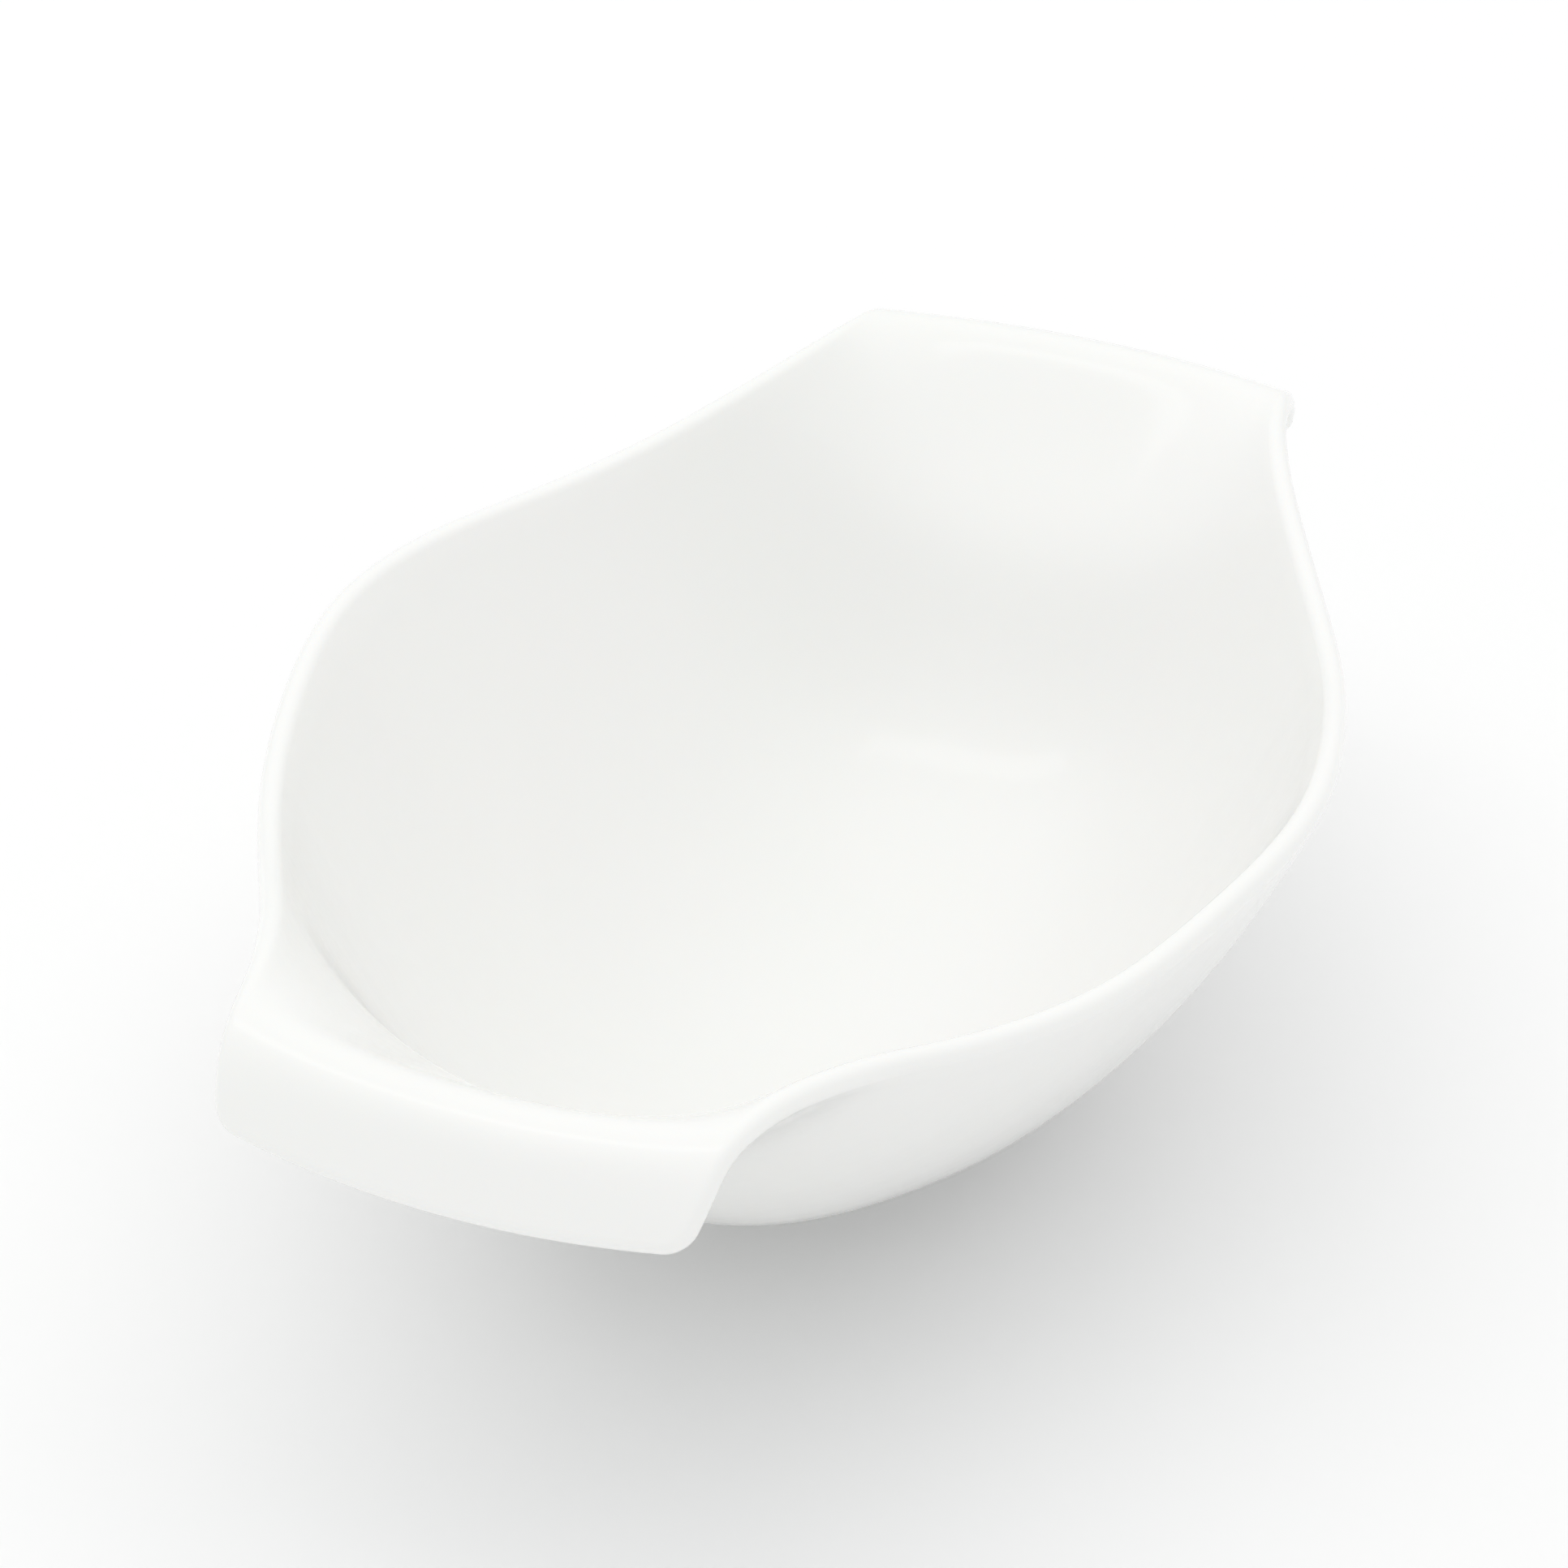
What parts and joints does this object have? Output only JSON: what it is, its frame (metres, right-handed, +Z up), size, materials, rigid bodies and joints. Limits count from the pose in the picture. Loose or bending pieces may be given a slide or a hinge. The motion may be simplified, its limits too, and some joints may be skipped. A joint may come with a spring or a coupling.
{
  "type": "porcelain dish",
  "caption": "Oval white porcelain dish on a low foot ring, its two ends rising and rolling over into broad lips to lift it by.",
  "frame": {"origin": "on the table, under the middle of the dish", "axes": "+X along the dish from lip to lip, +Y across it, +Z up"},
  "size_m": [0.2012, 0.1276, 0.0619],
  "materials": {
    "porcelain": "fired body, matt",
    "bare_porcelain": "fired and ground, matt",
    "white_glaze": "clear gloss over white"
  },
  "bodies": {
    "root": {"dish_body": "porcelain", "foot_ring": "bare_porcelain", "glaze": "white_glaze"}
  },
  "joints": []
}
